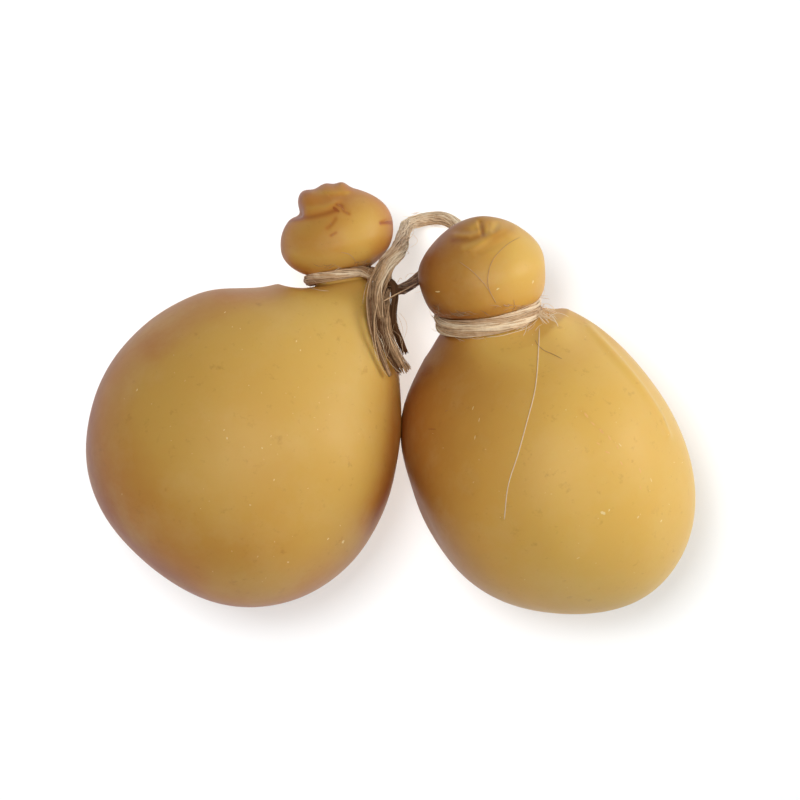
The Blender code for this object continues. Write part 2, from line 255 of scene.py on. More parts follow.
def mapped(node, value, span, onto=(0.0, 1.0), **settings):
    """A value brought from one span to another and held at its ends."""
    inputs = {"Value": value, "From Min": span[0], "From Max": span[1], "To Min": onto[0], "To Max": onto[1]}
    return node("MapRange", inputs, **settings)["Result"]


def mixed(node, share, colour, other):
    """A colour with this share of another mixed in."""
    return node("Mix", {"Factor": share, "A": colour, "B": other}, data_type="RGBA")["Result"]


def relief(node, height, strength, distance):
    """Normals of a fine relief."""
    return node("Bump", {"Strength": strength, "Distance": distance, "Height": height})["Normal"]


def painted_tone(node):
    """The tone that the mesh has at each point."""
    return node("Attribute", attribute_name="tone")["Fac"]


def raffia_material(name, dark, middle, pale):
    """Dry plant fibre: each strip has its own tone between dark and pale, mottled along its length."""
    material, shade, node = new_material(name)
    coordinates = node("TexCoord")["Object"]
    mottle = noise_texture(node, coordinates, 420.0, 3.0, 0.6)
    mottled = added(node, painted_tone(node), times_plus(node, mottle, 0.5, -0.25))
    shade(
        {
            "Base Color": colour_ramp(node, mottled, [(0.0, dark), (0.5, middle), (1.0, pale)]),
            "Roughness": 0.62,
            "Specular IOR Level": 0.25,
            "Sheen Weight": 0.04,
            "Normal": relief(node, noise_texture(node, coordinates, 1600.0), 0.35, 0.15 * MM),
        }
    )
    return material


RAFFIA = raffia_material("raffia", srgb(108, 72, 42), srgb(206, 170, 130), srgb(250, 232, 202))

# ---------------------------------------------------------------- twine routes, from the part's
HANGER_ROUTE = (
    (-4.7, 57.7, 70.2), (-2.3, 60.4, 67.4), (-0.2, 63.8, 60), (0.9, 67.4, 49), (1.9, 71.6, 35),
    (3.6, 75.8, 20), (7.6, 77.9, 9), (13, 79.3, 4.8), (19, 79.5, 4.6), (24, 76.8, 5.6), (27.6, 71.6, 9.6),
    (30.6, 65.4, 16.6), (33, 58.4, 24.4), (35.2, 51, 31.2), (36.8, 45.6, 34),
)
LINK_ROUTE = (
    (-6.4, 48.8, 67), (-2.4, 46.6, 63.2), (0.4, 46.6, 57.4), (3.6, 48.4, 49.4), (7, 51.2, 41.6),
    (10.8, 54.6, 34.6), (15.2, 57.4, 29.8), (20.2, 57.8, 28.2), (24.4, 55.4, 29), (27.2, 51, 31.2),
    (28.6, 46, 33.6),
)
TAIL_ROUTES = (
    (
        (-6, 46.2, 74.2), (-7.2, 42.6, 77.6), (-8, 38.4, 80.2), (-7.8, 33, 82), (-6.5, 26.8, 83),
        (-4.3, 21.9, 82), (-1.1, 16.5, 78.8), (2.3, 12.2, 75),
    ),
    (
        (-10.6, 46, 77.2), (-12, 41.6, 82.2), (-12, 36.4, 84.6), (-11.5, 30.5, 86.2), (-10.1, 25, 86.6),
        (-8.3, 19.5, 85.8), (-6.2, 14.2, 84), (-4.2, 9.9, 81.6),
    ),
    (
        (-6, 51, 69), (-2.6, 47.8, 70.4), (-2.2, 43.4, 71.8), (-2.8, 39.2, 72.4), (-3, 35.2, 72),
        (-2.4, 31.2, 70.8), (-1, 27.2, 69), (0.6, 23.4, 67), (2, 19.2, 64),
    ),
)
# Where the hanger comes out of the tails and passes over the knot.
OVER_KNOT = ((-7.4, 31.5, 81.4), (-8.6, 37, 82.8), (-9.6, 43, 82.8), (-8.6, 49.4, 79), (-6.9, 53.8, 75.6))


def placed(route):
    """A route in the part's drawing millimetres as metres in the frame."""
    return np.array(route) * MM + SHIFT


def placed_plan(route):
    """The same for a route in plan."""
    return np.array(route) * MM + SHIFT[:2]


WEAVE_LENGTH = 26 * MM  # along a hank, over which its strips weave once
STRIP_WIDTHS = (0.35, 1.1)
STRIP_THICKNESSES = (0.18, 0.3)
SHADED_SHARE = 0.2  # of a hank over which its start is darkened: painted shade


def bundle(
    strands, points, first_side, widths, depths, count, turns, seed, tone, frayed=(0.0, 0.0), darker=0.0
):
    """A hank of strips along the points, which weave over one another, darker by this much where it starts.

    widths and depths are half sizes in millimetres, spread evenly along the points. The hank turns about its
    own line this many times. Strips start and stop within the frayed shares of its length at either end.
    """
    draw = np.random.default_rng(seed)
    total = len(points)
    share = np.linspace(0, 1, total)
    half_width = np.interp(share, np.linspace(0, 1, len(widths)), widths) * MM
    half_depth = np.interp(share, np.linspace(0, 1, len(depths)), depths) * MM
    _, sides, normals = carried_frames(points, first_side)
    waves = 2 * math.pi * route_length(points) / WEAVE_LENGTH
    shade = -darker * np.clip(1 - share / SHADED_SHARE, 0, 1)
    core = slice(int(frayed[0] * total), total - int(frayed[1] * total))
    core_tone = 0.6 * tone[0] + 0.4 * tone[1] + shade[core]
    strands.add(points[core], 1.3 * half_width.min(), 1.3 * half_depth.min(), normals[core], core_tone)
    for _ in range(count):
        phase = draw.uniform(0, 2 * math.pi, 4)
        angle = phase[0] + 2 * math.pi * turns * share
        angle = angle + 0.16 * np.sin(waves * share + phase[1])
        angle = angle + 0.05 * np.sin(2.7 * waves * share + phase[2])
        reach = draw.uniform(0.1, 1.0) ** 0.5 * (1 + 0.06 * np.sin(1.6 * waves * share + phase[3]))
        to_end = np.clip((share - 1 + frayed[1]) / (frayed[1] + 1e-9), 0, 1)
        reach = reach * (1 + to_end * draw.uniform(-0.3, 0.5))
        spread = sides * (half_width * reach * np.cos(angle))[:, None]
        lift = normals * (half_depth * reach * np.sin(angle))[:, None]
        outward = unit(spread + lift + 0.6 * half_depth.mean() * unit(draw.normal(size=3)))
        first = int(max(0, draw.uniform(-0.5, 1)) * frayed[0] * total)
        last = total - int(max(0, draw.uniform(-0.5, 1)) ** 1.5 * frayed[1] * total)
        place_in_range = 0.5 + 0.22 * math.sin(2 * phase[0] + seed) + draw.uniform(-0.28, 0.28)
        strands.add(
            (points + spread + lift)[first:last],
            draw.uniform(*STRIP_WIDTHS) * MM,
            draw.uniform(*STRIP_THICKNESSES) * MM,
            outward[first:last],
            tone[0] + (tone[1] - tone[0]) * place_in_range + shade[first:last],
        )


def stray_fibres(strands, points, spread, count, length, seed):
    """Fine curling fibres that leave a hank at a low angle, this far from its middle."""
    draw = np.random.default_rng(seed)
    tangents = unit(np.gradient(points, axis=0))
    t = np.linspace(0, 1, 12)[:, None]
    for _ in range(count):
        at = draw.integers(1, len(points) - 1)
        along = tangents[at] * draw.choice((-1.0, 1.0))
        away = unit(draw.normal(size=3))
        away = unit(away - along * np.dot(away, along))
        bend = np.cross(along, away) * draw.uniform(-0.5, 0.5)
        run = draw.uniform(*length) * MM
        lift = draw.uniform(0.1, 0.34) * np.sin(math.pi * draw.uniform(0.4, 0.9) * t)
        fibre = points[at] + away * spread * MM + run * (along * t + away * lift + bend * t**2)
        fibre[:, 2] = np.maximum(fibre[:, 2], 0.3 * MM)
        facing = np.tile(away, (len(t), 1))
        strands.add(fibre, draw.uniform(0.12, 0.24) * MM, 0.12 * MM, facing, draw.uniform(0.5, 1.0))


def add_hank(node, fuzz_name, points, spread, strays, lengths, seed, looks):
    """A hank of twine in place of its solid, and its stray fibres."""
    hank = Strands()
    bundle(hank, points, *looks)
    piece = hank.build(node + "_raffia", RAFFIA)
    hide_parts(node)
    fuzz = Strands()
    stray_fibres(fuzz, points, spread, strays, lengths, seed)
    fuzz_piece = fuzz.build(fuzz_name, RAFFIA)
    return piece, fuzz_piece


def declare_cord(node, route, spacing, diameter, far_end, strays, looks):
    """A free length of twine: its hank, with its stray fibres on it."""
    points = smooth_route(placed(route), spacing * MM)
    name = node + "_raffia"
    seed = len(name) + strays
    fuzz_name = name + "_strays"
    piece, fuzz_piece = add_hank(node, fuzz_name, points, diameter / 2, strays, (4.0, 11.0), seed, looks)


# Looks of the hanks: (first side, half widths, half depths, strips, turns, seed, tones, frayed shares, how
# much darker the hank starts, which is painted shade).
HANGER_LOOKS = (
    (1, 0.2, 0),
    (2.6, 3.7, 3.8, 3.3, 2.7, 3, 3.6, 3.6, 3.2, 2.8),
    (1.2, 1.8, 2.3, 2.5, 2.4, 2.4, 2.7, 2.7, 2.6, 2.4),
    150,
    0.7,
    11,
    (0.4, 1.2),
    (0.22, 0),
    0.7,
)
# The link's and the tails' low tones are painted shade, where they hang in the shadow between the cheeses.
LINK_LOOKS = ((1, -0.4, 0), (2, 2.3, 3.2, 3), (2, 2.2, 2.4, 2.4), 80, 0.5, 12, (-0.15, 0.35))
TAIL_SIDE = (1, 0.1, 0)
TAIL_LOOKS = (
    (
        TAIL_SIDE,
        (2.2, 3.6, 3.9, 3.5, 2.9, 2.3),
        (1.5, 1.8, 1.8, 1.7, 1.6),
        100,
        0.2,
        21,
        (-0.25, 0.55),
        (0, 0.2),
    ),
    (TAIL_SIDE, (1.2, 1.7, 1.5, 1.1, 0.6), (1, 1.2, 1, 0.6), 30, 0.2, 22, (-0.1, 0.55), (0, 0.35)),
    (TAIL_SIDE, (1.4, 1.6, 1.5, 1.3), (1.3, 1.4, 1.3, 1.1), 34, 0.3, 23, (-0.3, 0.05), (0, 0.15)),
)
# The free lengths: (node, route, spacing of its points, diameter, far end, stray fibres, looks).
CORDS = (
    ("twine_hanger", OVER_KNOT + HANGER_ROUTE, 1.4, 6.4, "object", 40, HANGER_LOOKS),
    ("twine_link", LINK_ROUTE, 1.2, 5.2, "object", 14, LINK_LOOKS),
    ("twine_tail_1", TAIL_ROUTES[0], 1, 5, "bare", 10, TAIL_LOOKS[0]),
    ("twine_tail_2", TAIL_ROUTES[1], 1, 3, "bare", 10, TAIL_LOOKS[1]),
    ("twine_tail_3", TAIL_ROUTES[2], 1, 3, "bare", 10, TAIL_LOOKS[2]),
)


def add_cords():
    """The free lengths of twine: the hanger, the link and the tails."""
    for cord in CORDS:
        declare_cord(*cord)


add_cords()


# ---------------------------------------------------------------- the cheeses, as in the part
BODY_SHARE = 0.56  # of the rings, below the neck
FLAT_BLEND = 0.8 * MM  # height over which a belly turns into its flat
SWELL_FADE = 9 * MM  # below the neck, over which a swell of the body sets in
CROWN_EASE = 0.15  # of a crown's height, over which it begins to close
GAP = 0.35 * MM  # between solids that touch
# Twine round the necks, in degrees: (first angle, last angle, angles between which a turn moves over).
LEFT_TURNS = (45.0, 368.0, (368.0, 400.0))
RIGHT_TURNS = (-38.0, 578.0, (220.0, 320.0))


@dataclass
class Cheese:
    """The sizes of one cheese. A turn is about +Z from +Y and a rise is above the horizontal, in degrees."""

    name: str
    neck: tuple  # middle of the neck
    neck_radius: float  # at the bottom of the groove that the twine has cut
    neck_half: float  # half the length of that groove
    neck_turn: float
    neck_rise: float
    twine_radius: float  # of the hank wound round the neck
    body_turn: float
    body_rise: float
    body_length: float  # neck to pole
    belly_from_neck: float
    belly_radius: float
    belly_shift: float  # sideways bow of the body's axis
    body_depth: float  # height of a body section, as a share of its width
    shoulder_fullness: float
    base_fullness: float
    lean_reach: float  # how far below the neck the sections come to face along the body
    head_path: float  # turn of the line from the neck to the crown
    head_turn: float
    head_rise: float
    head_height: float
    head_middle: float  # neck to the widest section of the head
    head_radius: float
    head_depth: float  # height of a head section, as a share of its width
    underside_fullness: float  # of the head, where it overhangs the twine
    crown_fullness: float
    crown_shift: float
    # The rest is in millimetres.
    swells: tuple = ()  # soft bulges and hollows: (place, reach, height)
    bumps: tuple = ()  # lumps and hollows of the head's upper side: (plan place, reach, height)
    creases: tuple = ()  # grooves in the upper side: (plan route, depth, width)
    lips: tuple = ()  # folds that overlap the upper side: (plan route, height, edge width, reach)


LEFT = Cheese(
    name="cheese_left",
    neck=(-25.1 * MM, 51.4 * MM, 60 * MM),
    neck_radius=11.3 * MM,
    neck_half=2.5 * MM,
    neck_turn=9,
    neck_rise=0,
    twine_radius=1.75 * MM,
    body_turn=-29.6,
    body_rise=0,
    body_length=148.9 * MM,
    belly_from_neck=83.9 * MM,
    belly_radius=65 * MM,
    belly_shift=-1.7 * MM,
    body_depth=0.96,
    shoulder_fullness=0.86,
    base_fullness=2.08,
    lean_reach=36 * MM,
    head_path=4.4,
    head_turn=10.7,
    head_rise=5,
    head_height=37.6 * MM,
    head_middle=16.3 * MM,
    head_radius=24 * MM,
    head_depth=0.95,
    underside_fullness=0.6,
    crown_fullness=1.76,
    crown_shift=1.4 * MM,
    swells=(
        ((-100, 37, 60), 30, 2.2),
        ((-105, -66, 60), 30, -3.3),
        ((-60, 48, 60), 26, 1.7),
        ((2, 5, 60), 26, 2.7),
        ((-42, 50, 60), 16, 4.4),
    ),
    bumps=(
        ((-38.6, 84.2), 4.5, 4.8),
        ((-31, 88), 4.2, 3.2),
        ((-24.5, 89.1), 2.8, 1.9),
        ((-43, 78.8), 2.8, -2.9),
    ),
    lips=((((-52, 77), (-41, 77.2), (-37.1, 77.4), (-30.6, 78.8), (-26.7, 80.7), (-23, 84)), 1, 1.4, 8),),
)

RIGHT = Cheese(
    name="cheese_right",
    neck=(37.1 * MM, 36.3 * MM, 60 * MM),
    neck_radius=19.4 * MM,
    neck_half=3.9 * MM,
    neck_turn=10,
    neck_rise=16,
    twine_radius=1.5 * MM,
    body_turn=27.2,
    body_rise=5,
    body_length=135.6 * MM,
    belly_from_neck=68.6 * MM,
    belly_radius=59.6 * MM,
    belly_shift=-6.2 * MM,
    body_depth=1,
    shoulder_fullness=0.84,
    base_fullness=1.91,
    lean_reach=50 * MM,
    head_path=10.3,
    head_turn=9,
    head_rise=22,
    head_height=42.8 * MM,
    head_middle=19.6 * MM,
    head_radius=26.6 * MM,
    head_depth=0.97,
    underside_fullness=0.36,
    crown_fullness=1.5,
    crown_shift=2.9 * MM,
    swells=(
        ((2, -9, 60), 26, 4.5),
        ((10, -52, 60), 22, -4.1),
        ((70, 36, 60), 24, 5.8),
        ((105, 5, 60), 28, -3.2),
        ((105, -60, 60), 28, 3.4),
    ),
    creases=(
        (((33, 73.6), (33.4, 71.6), (34.2, 69.2)), 0.7, 1.4),
        (((21, 71), (26, 70), (31, 70.4)), 0.5, 1.6),
        (((40.2, 73), (38.6, 70.2)), 0.5, 1.4),
    ),
    lips=(
        (((25, 59.4), (31, 62.2), (38, 66.4), (45.5, 70.8)), 0.8, 1.4, 3),
        (((35, 70.8), (32.6, 68), (28.4, 66.8), (20, 68.4)), -0.7, 1.4, 5),
    ),
)


def turned_axes(turn, rise):
    """Unit vectors to the side of, above and along an axis at these angles."""
    turn, rise = np.radians(turn), np.radians(rise)
    along = np.stack([-np.sin(turn) * np.cos(rise), np.cos(turn) * np.cos(rise), np.sin(rise)], -1)
    side = np.stack([np.cos(turn), np.sin(turn), np.zeros_like(turn)], -1)
    return side, np.cross(side, along), along


def rounded_end(share, fullness):
    """Half-width of a rounded end, from 1 where it starts to 0 at its tip."""
    return (1 - np.clip(share, 0, 1) ** fullness) ** (1 / fullness)


def flare(distance, start, end, from_radius, to_radius, fullness):
    """Radius that swells out of a groove, steeply at first."""
    share = np.clip((distance - start) / (end - start), 0, 1)
    return from_radius + (to_radius - from_radius) * np.sin(math.pi / 2 * share) ** fullness


def body_radius(cheese, below):
    """Radius of the section this far below the neck: a full shoulder, the belly and a round base."""
    belly, radius = cheese.belly_from_neck, cheese.belly_radius
    shoulder = flare(below, cheese.neck_half, belly, cheese.neck_radius, radius, cheese.shoulder_fullness)
    base = (below - belly) / (cheese.body_length - belly)
    return np.where(base > 0, radius * rounded_end(base, cheese.base_fullness), shoulder)


def head_radius(cheese, above):
    """Radius of the section this far above the neck: it overhangs the twine and closes at the crown."""
    middle, radius = cheese.head_middle, cheese.head_radius
    underside = flare(above, cheese.neck_half, middle, cheese.neck_radius, radius, cheese.underside_fullness)
    top = np.clip((above - middle) / (cheese.head_height - middle), 0, 1)
    eased = top**2 * (1 + CROWN_EASE) / (top + CROWN_EASE)
    return np.where(top > 0, radius * rounded_end(eased, cheese.crown_fullness), underside)


def sections(cheese, share):
    """Centre, side, up, half-width, half-height and distance from the groove, from pole (0) to crown (1)."""
    in_body = share <= BODY_SHARE
    body_angle = math.pi * np.clip(share / BODY_SHARE, 0, 1)
    head_angle = math.pi * np.clip((share - BODY_SHARE) / (1 - BODY_SHARE), 0, 1)
    below = cheese.body_length * (1 + np.cos(body_angle)) / 2
    above = cheese.head_height * (1 - np.cos(head_angle)) / 2

    in_groove = np.clip(np.where(in_body, -below, above), -cheese.neck_half, cheese.neck_half)
    past = np.where(in_body, below, above) - abs(in_groove)
    lean = np.clip(1 - past / cheese.lean_reach, 0, 1) ** 2
    nod = np.clip(past / (cheese.head_middle - cheese.neck_half), 0, 1)
    body_turn = cheese.body_turn + lean * (cheese.neck_turn - cheese.body_turn)
    body_rise = cheese.body_rise + lean * (cheese.neck_rise - cheese.body_rise)
    head_turn = cheese.neck_turn + nod * (cheese.head_turn - cheese.neck_turn)
    head_rise = cheese.neck_rise + nod * (cheese.head_rise - cheese.neck_rise)
    side, up, _ = turned_axes(
        np.where(in_body, body_turn, head_turn), np.where(in_body, body_rise, head_rise)
    )

    _, _, neck_along = turned_axes(cheese.neck_turn, cheese.neck_rise)
    body_side, _, body_along = turned_axes(cheese.body_turn, cheese.body_rise)
    head_side, _, head_along = turned_axes(cheese.head_path, cheese.head_rise)
    bow = cheese.belly_shift * np.sin(math.pi * past / cheese.body_length)
    slump = cheese.crown_shift * (above / cheese.head_height) ** 3
    groove_centre = np.array(cheese.neck) + np.outer(in_groove, neck_along)
    body_centre = groove_centre - np.outer(past, body_along) + np.outer(bow, body_side)
    head_centre = groove_centre + np.outer(past, head_along) + np.outer(slump, head_side)
    centre = np.where(in_body[:, None], body_centre, head_centre)

    width = np.where(in_body, body_radius(cheese, below), head_radius(cheese, above))
    fill = np.clip(2 * below / cheese.belly_from_neck, 0, 1)
    body_flattening = 1 + (cheese.body_depth - 1) * fill
    head_flattening = 1 + (cheese.head_depth - 1) * nod
    height = width * np.where(in_body, body_flattening, head_flattening)
    return centre, side, up, width, height, past


def hearts(cheese):
    """Middles of the body and of the head."""
    neck = np.array(cheese.neck)
    _, _, body_along = turned_axes(cheese.body_turn, cheese.body_rise)
    _, _, head_along = turned_axes(cheese.head_path, cheese.head_rise)
    return neck - cheese.belly_from_neck * body_along, neck + cheese.head_middle * head_along


def away_from(points, heart):
    """Directions away from the heart."""
    away = points - heart
    return away / (np.linalg.norm(away, axis=1)[:, None] + 1e-9)


def swell(points, heart, past, place, reach, height):
    """Points moved away from the heart in a soft bulge round a place, which dies out at the neck."""
    distance = np.linalg.norm(points - np.array(place) * MM, axis=1)
    fade = np.clip(past / SWELL_FADE, 0, 1) ** 2
    lift = height * MM * fade * np.exp(-((distance / (reach * MM)) ** 2))
    return points + away_from(points, heart) * lift[:, None]


def beside_route(points, route):
    """Distance in plan from a broken line, positive on its left, and the share of the way along it."""
    plan = points[:, :2]
    route = np.array(route) * MM
    lengths = np.linalg.norm(np.diff(route, axis=0), axis=1)
    done = np.concatenate([[0], np.cumsum(lengths)])
    nearest = np.full(len(points), np.inf)
    side = np.zeros(len(points))
    share = np.zeros(len(points))
    for start, end, length, before in zip(route[:-1], route[1:], lengths, done):
        run = (end - start) / length
        along = np.clip((plan - start) @ run, 0, length)
        apart = plan - start - along[:, None] * run
        distance = np.linalg.norm(apart, axis=1)
        closer = distance < nearest
        nearest = np.where(closer, distance, nearest)
        side = np.where(closer, np.sign(run[0] * apart[:, 1] - run[1] * apart[:, 0]), side)
        share = np.where(closer, (before + along) / done[-1], share)
    return nearest * side, share


def raised(points, heart, height, from_rise, full_rise):
    """Points moved away from the heart, in full where they lie above it and not at all well below."""
    away = away_from(points, heart)
    shown = np.clip((away[:, 2] - from_rise) / (full_rise - from_rise), 0, 1)
    return points + away * (height * shown)[:, None]


def add_bump(points, heart, place, reach, height):
    """Points moved out in a soft lump round a place in plan."""
    distance = np.linalg.norm(points[:, :2] - np.array(place) * MM, axis=1)
    return raised(points, heart, height * MM * np.exp(-((distance / (reach * MM)) ** 2)), -0.5, 0)


def add_crease(points, heart, route, depth, width):
    """Points of the upper side sunk towards the heart along a route in plan."""
    beside, _ = beside_route(points, route)
    return raised(points, heart, -depth * MM * np.exp(-((beside / (width * MM)) ** 2)), 0, 0.4)


def add_lip(points, heart, route, height, edge, reach):
    """Points raised on the left of a route in plan, steep beside it and dying out away from it."""
    beside, share = beside_route(points, route)
    step = 0.5 + 0.5 * np.tanh(2 * beside / (edge * MM))
    fade = np.exp(-((np.clip(beside, 0, None) / (reach * MM)) ** 2)) * (1 - abs(2 * share - 1) ** 3)
    return raised(points, heart, height * MM * step * fade, -0.5, 0)


def carved(points, heart, *works):
    """Points after each work, a function and the list of places where it is done."""
    for work, places in works:
        for place in places:
            points = work(points, heart, *place)
    return points


def rest_on_floor(height):
    """Heights with whatever would lie below the floor pressed flat, with a soft edge."""
    blended = (height + FLAT_BLEND) ** 2 / (4 * FLAT_BLEND)
    return np.where(height > FLAT_BLEND, height, np.where(height < -FLAT_BLEND, 0, blended))


def surface(cheese, share, angle):
    """Points of the cheese's skin, at shares from pole to crown and at angles round the axis."""
    centre, side, up, width, height, past = sections(cheese, share)
    points = centre + side * (width * np.cos(angle))[:, None] + up * (height * np.sin(angle))[:, None]
    body_heart, head_heart = hearts(cheese)
    in_head = share > BODY_SHARE
    for place, reach, bulge in cheese.swells:
        points = swell(points, body_heart, np.where(in_head, 0, past), place, reach, bulge)
    works = (add_bump, cheese.bumps), (add_crease, cheese.creases), (add_lip, cheese.lips)
    points[in_head] = carved(points[in_head], head_heart, *works)
    points[:, 2] = rest_on_floor(points[:, 2])
    return points


SKIN_SEGMENTS = 320
SKIN_RINGS = 280
HEAD_LUMPS = (0.5 * MM, 13 * MM, 3.0)  # height and size of the skin's unevenness, and where its noise starts
BODY_LUMPS = (0.7 * MM, 34 * MM, 7.0)

# Relief too fine for the solids, in millimetres. Folds and nicks of the heads: (plan route, depth, width). A
# negative depth stands proud.
FINE_FOLDS = {
    "cheese_left": (
        (((-24.8, 81.4), (-22.8, 79.4), (-21.4, 77.4)), 0.2, 0.7),
        (((-29.6, 70.4), (-28.4, 72.8), (-26.8, 74.6)), 0.15, 0.6),
        (((-7.6, 73.6), (-5, 75), (-3.4, 75.8)), 0.6, 0.6),
    ),
    "cheese_right": (
        (((33.2, 73.4), (33.6, 71.6), (34.2, 69.6)), 0.3, 0.7),
        (((31.6, 73.6), (31.9, 72), (32.4, 70)), -0.25, 0.9),
        (((36.8, 72.9), (35.9, 68.5)), 0.25, 0.7),
        (((43, 66.2), (38, 63.2), (32, 60.4)), 0.3, 1.4),
    ),
}
# Low folds that overlap the heads: (plan route, height, edge width, reach).
FINE_LIPS = {
    "cheese_left": ((((-33, 86.6), (-27, 85.6), (-23, 85.8), (-19, 87)), 0.5, 0.8, 3),),
    "cheese_right": (),
}
# A low ridge down the second body: (plan route, depth, width).
BODY_FOLDS = {
    "cheese_left": (),
    "cheese_right": (
        (
            (
                (79.1, 30.1), (86.1, 21.5), (95.2, 10.7), (100.1, 4.1), (103.9, -1.6), (107.3, -7.4),
                (110.2, -14.4),
            ),
            -1.3,
            1.6,
        ),
    ),
}
# Small fullnesses of the shoulders: (plan place, reach, height).
FINE_BUMPS = {
    "cheese_left": (((-43, 50), 9, 1.4),),
    "cheese_right": (((61, 34), 7, 2.6), ((66, 27), 7, 0.8)),
}
# Where the upper side is darker than its surroundings (or paler, if negative): smoke stain and scuffs, and
# also painted shade in creases, under fold edges and between the cheeses, and painted highlights on ridges
# and lit sides: (plan route, width, amount).
STAINS_AND_PAINTED_LIGHT = {
    "cheese_left": (
        # Painted shade under the edge of the cap's lower fold.
        (((-46, 75.6), (-41, 75.4), (-36.5, 75.7), (-31, 76.8), (-26.9, 78.2)), 1.2, 0.26),
        (((-26.2, 81), (-24.1, 80.3), (-23.1, 77.9), (-21, 76.8)), 0.7, 0.26),
        (((-27.4, 79.6), (-25.4, 78)), 0.5, 0.35),
        (((-26.6, 74.8), (-27.9, 72.7), (-30, 71)), 0.9, 0.22),
        (((-26.4, 69), (-28.4, 67.8)), 0.6, 0.3),
        (((-8, 73.4), (-5.5, 73.9), (-3.4, 74.2)), 0.8, 0.4),
        # Painted highlight along the cap's upper fold.
        (((-36, 86.5), (-28, 86.2), (-22, 86.2)), 1.2, -0.14),
        # Painted shade on the dome below that fold.
        (((-40, 83), (-32, 84), (-24, 84)), 6, 0.18),
        # Painted highlight on the edge of the cap's lower fold.
        (((-38, 79.6), (-31, 80.2), (-27, 82)), 1.1, -0.12),
        (((-44, 59), (-35, 57), (-25, 57), (-14, 60)), 3, -0.16),
        # Painted highlight on the head's lit right part.
        (((-17, 67), (-14, 72)), 6, -0.2),
        (((-100, 22), (-85, 34), (-70, 40), (-50, 44)), 8, 0.2),
        # Painted shade on the body's edge beside the second cheese.
        (((2, 10), (2, -10), (-1, -32), (-8, -50)), 9, 0.45),
        (((-22, 44), (-12, 36)), 8, 0.12),
        (((-95, -10), (-80, -30)), 22, -0.14),
        (((-75, -80), (-50, -80)), 10, -0.16),
    ),
    "cheese_right": (
        (((38, 24), (50, 22)), 9, -0.5),
        # Paler where the shoulder's lump throws shade: painted light.
        (((60, 34), (68, 30)), 6, -0.3),
        # Painted highlight along the ridge of the body.
        (((79.1, 30.1), (95.2, 10.7), (103.9, -1.6), (110.2, -14.4), (114, -26.8)), 1.8, -0.8),
        (((74, -5), (79, -10), (84, -15)), 2, 0.16),
        (((6, 12), (12, 12.5)), 1.4, 0.4),
        # Painted highlights along the ridges of the head's folds.
        (((30, 71), (33, 73.2)), 1.5, -0.2),
        (((40.6, 73.1), (36.4, 69.4)), 1.4, -0.2),
        (((23.2, 68.6), (29, 68), (32.3, 69.3)), 1.2, -0.16),
        (((26.5, 62.9), (31.8, 64.5), (36.4, 66.4)), 1.6, -0.18),
        # Painted shade in the valleys of the head's folds.
        (((33.8, 73.4), (34.1, 69)), 1, 0.2),
        (((22, 66), (29, 66.2), (34, 67.7)), 1.4, 0.16),
        (((37.2, 66.2), (41.4, 67.9), (46, 70.4)), 2, 0.18),
        # Painted shade under the head's overhang, along the twine.
        (((14.5, 38), (22, 34), (32, 34.5), (42, 37.5)), 2.4, 0.2),
        # Painted highlight on the head's lit right part.
        (((48, 50), (50, 60)), 9, -0.2),
    ),
}


def stain_and_light_amounts(points, heart, stains_and_painted_light):
    """How much darker than its surroundings (or paler) each point of the upper side is made, by stain and
    scuff or by painted shade and highlight.
    """
    away = unit(points - heart)
    shown = np.clip(away[:, 2] / 0.25, 0, 1)
    total = np.zeros(len(points))
    for route, width, amount in stains_and_painted_light:
        beside, _ = beside_route(points, route)
        total += amount * shown * np.exp(-((beside / (width * MM)) ** 2))
    return total


def uneven(points, outward, height, size, offset):
    """Points moved in and out by smooth noise with lumps of this size."""
    lumps = np.array([noise.noise(Vector(place / size) + Vector((offset, 0, 0))) for place in points])
    return points + outward * (height * lumps)[:, None]


def skin(cheese):
    """Vertices, faces and tones of a cheese's skin, fine enough for its folds, in the frame. The tones are
    stain, painted shade and painted highlight.
    """
    rows, columns = SKIN_RINGS + 1, SKIN_SEGMENTS
    polar = np.linspace(0, 1, rows)
    share = np.repeat(polar, columns)
    angle = np.tile(np.linspace(0, 2 * math.pi, columns, endpoint=False), rows)
    points = surface(cheese, share, angle)
    body_heart, head_heart = hearts(cheese)
    in_head = share > BODY_SHARE
    head, body = points[in_head], points[~in_head]
    name = cheese.name
    head = carved(head, head_heart, (add_crease, FINE_FOLDS[name]), (add_lip, FINE_LIPS[name]))
    body = carved(body, body_heart, (add_crease, BODY_FOLDS[name]), (add_bump, FINE_BUMPS[name]))
    head = uneven(head, unit(head - head_heart), *HEAD_LUMPS)
    body = uneven(body, unit(body - body_heart), *BODY_LUMPS)
    stains_and_painted_light = STAINS_AND_PAINTED_LIGHT[name]
    tone = np.concatenate([stain_and_light_amounts(body, body_heart, stains_and_painted_light), stain_and_light_amounts(head, head_heart, stains_and_painted_light)])
    points = np.concatenate([body, head]) + SHIFT
    points[:, 2] = np.maximum(points[:, 2], 0)
    faces = []
    beside = [(column, (column + 1) % columns) for column in range(columns)]
    for low in range(columns, (rows - 2) * columns, columns):
        high = low + columns
        faces.extend((low + this, high + this, high + after, low + after) for this, after in beside)
    pole, last, crown = 0, (rows - 2) * columns, (rows - 1) * columns
    for this, following in beside:
        faces.append((pole, columns + this, columns + following))
        faces.append((crown, last + following, last + this))
    return points, faces, tone


